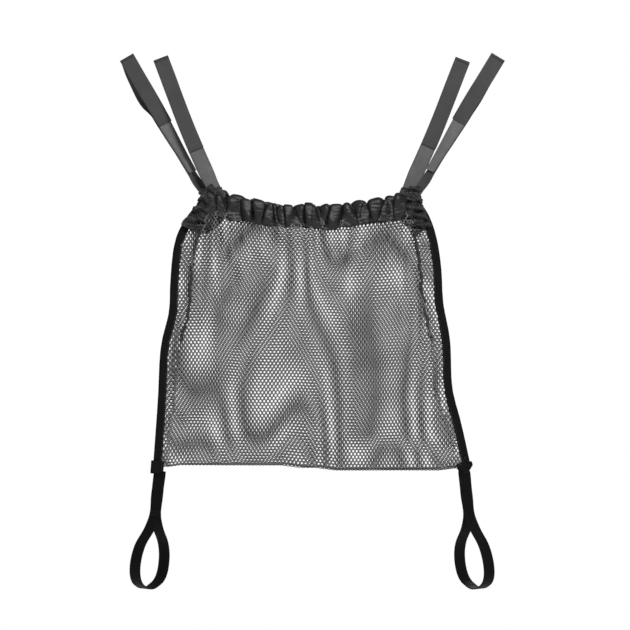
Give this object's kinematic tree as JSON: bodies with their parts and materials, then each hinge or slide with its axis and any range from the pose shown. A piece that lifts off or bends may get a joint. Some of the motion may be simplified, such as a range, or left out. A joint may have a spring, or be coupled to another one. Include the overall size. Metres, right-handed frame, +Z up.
{
  "type": "hay net",
  "caption": "Hexagonal-mesh hay bag with a gathered elastic mouth, hook-and-loop hanging straps and webbing loops at the bottom corners.",
  "frame": {"origin": "middle of the level line through the top folds of the four hanging straps", "axes": "+Z up, front of the bag facing -Y, +X to the right seen from the front"},
  "size_m": [0.6202, 0.075, 0.862],
  "materials": {
    "hexagon_net": "knitted hexagonal net, matt",
    "casing_nylon": "plain-weave nylon, soft sheen",
    "webbing": "flat woven webbing, soft sheen",
    "hook_and_loop": "hook-and-loop tape, matt pile",
    "elastic": "braided flat elastic, matt"
  },
  "bodies": {
    "bag": {"net_back": "hexagon_net", "gusset_left": "hexagon_net", "gusset_right": "hexagon_net", "binding_left": "webbing", "binding_right": "webbing", "corner_tab_left": "hexagon_net", "corner_tab_right": "hexagon_net", "casing_back": "casing_nylon", "elastic_back": "elastic", "anchor_inner_left": "webbing", "anchor_inner_right": "webbing"},
    "mouth_front": {"net_front": "hexagon_net", "casing_front": "casing_nylon", "elastic_front": "elastic"},
    "outer_left_strap": {"outer_left_run": "webbing", "outer_left_loop_tape": "hook_and_loop"},
    "outer_left_tab": {"outer_left_flap": "webbing", "outer_left_hook_tape": "hook_and_loop"},
    "inner_left_strap": {"inner_left_run": "webbing", "inner_left_loop_tape": "hook_and_loop"},
    "inner_left_tab": {"inner_left_flap": "webbing", "inner_left_hook_tape": "hook_and_loop"},
    "inner_right_strap": {"inner_right_run": "webbing", "inner_right_loop_tape": "hook_and_loop"},
    "inner_right_tab": {"inner_right_flap": "webbing", "inner_right_hook_tape": "hook_and_loop"},
    "outer_right_strap": {"outer_right_run": "webbing", "outer_right_loop_tape": "hook_and_loop"},
    "outer_right_tab": {"outer_right_flap": "webbing", "outer_right_hook_tape": "hook_and_loop"},
    "loop_left": {"bottom_loop_left": "webbing"},
    "loop_right": {"bottom_loop_right": "webbing"}
  },
  "joints": [
    {"name": "mouth_opening", "type": "hinge", "parent": "bag", "child": "mouth_front", "pos_m": [0, 0, -0.668], "axis": [1, 0, 0], "range_deg": [0, 8], "stiffness_Nm_per_rad": 5},
    {"name": "outer_left_root", "type": "hinge", "parent": "bag", "child": "outer_left_strap", "pos_m": [-0.17447, 0.01094, -0.21885], "axis": [-0.7489, -0.5, -0.4349], "range_deg": [0, 85]},
    {"name": "outer_left_peel", "type": "hinge", "parent": "outer_left_strap", "child": "outer_left_tab", "pos_m": [-0.2967, 0.00321, -0.004], "axis": [-0.8666, 0, -0.499], "range_deg": [0, 160]},
    {"name": "inner_left_root", "type": "hinge", "parent": "bag", "child": "inner_left_strap", "pos_m": [-0.157, -0.0086, -0.214], "axis": [0.9138, 0, 0.4061], "range_deg": [0, 85]},
    {"name": "inner_left_peel", "type": "hinge", "parent": "inner_left_strap", "child": "inner_left_tab", "pos_m": [-0.24137, -0.01519, -0.00731], "axis": [-0.9353, 0, -0.3538], "range_deg": [0, 160]},
    {"name": "inner_right_root", "type": "hinge", "parent": "bag", "child": "inner_right_strap", "pos_m": [0.156, 0.0089, -0.214], "axis": [-0.9138, 0, 0.4061], "range_deg": [0, 85]},
    {"name": "inner_right_peel", "type": "hinge", "parent": "inner_right_strap", "child": "inner_right_tab", "pos_m": [0.24132, 0.00071, -0.0083], "axis": [-0.9316, 0, 0.3634], "range_deg": [0, 160]},
    {"name": "outer_right_root", "type": "hinge", "parent": "bag", "child": "outer_right_strap", "pos_m": [0.17063, -0.00836, -0.21637], "axis": [0.7856, -0.4067, -0.4662], "range_deg": [0, 85]},
    {"name": "outer_right_peel", "type": "hinge", "parent": "outer_right_strap", "child": "outer_right_tab", "pos_m": [0.29661, -0.01479, -0.00494], "axis": [-0.8555, 0, 0.5177], "range_deg": [0, 160]},
    {"name": "loop_left_swing", "type": "hinge", "parent": "bag", "child": "loop_left", "pos_m": [-0.245, 0, -0.667], "axis": [0.7193, -0.6947, 0], "range_deg": [-60, 60]},
    {"name": "loop_right_swing", "type": "hinge", "parent": "bag", "child": "loop_right", "pos_m": [0.245, 0, -0.667], "axis": [-0.7193, -0.6947, 0], "range_deg": [-60, 60]}
  ]
}
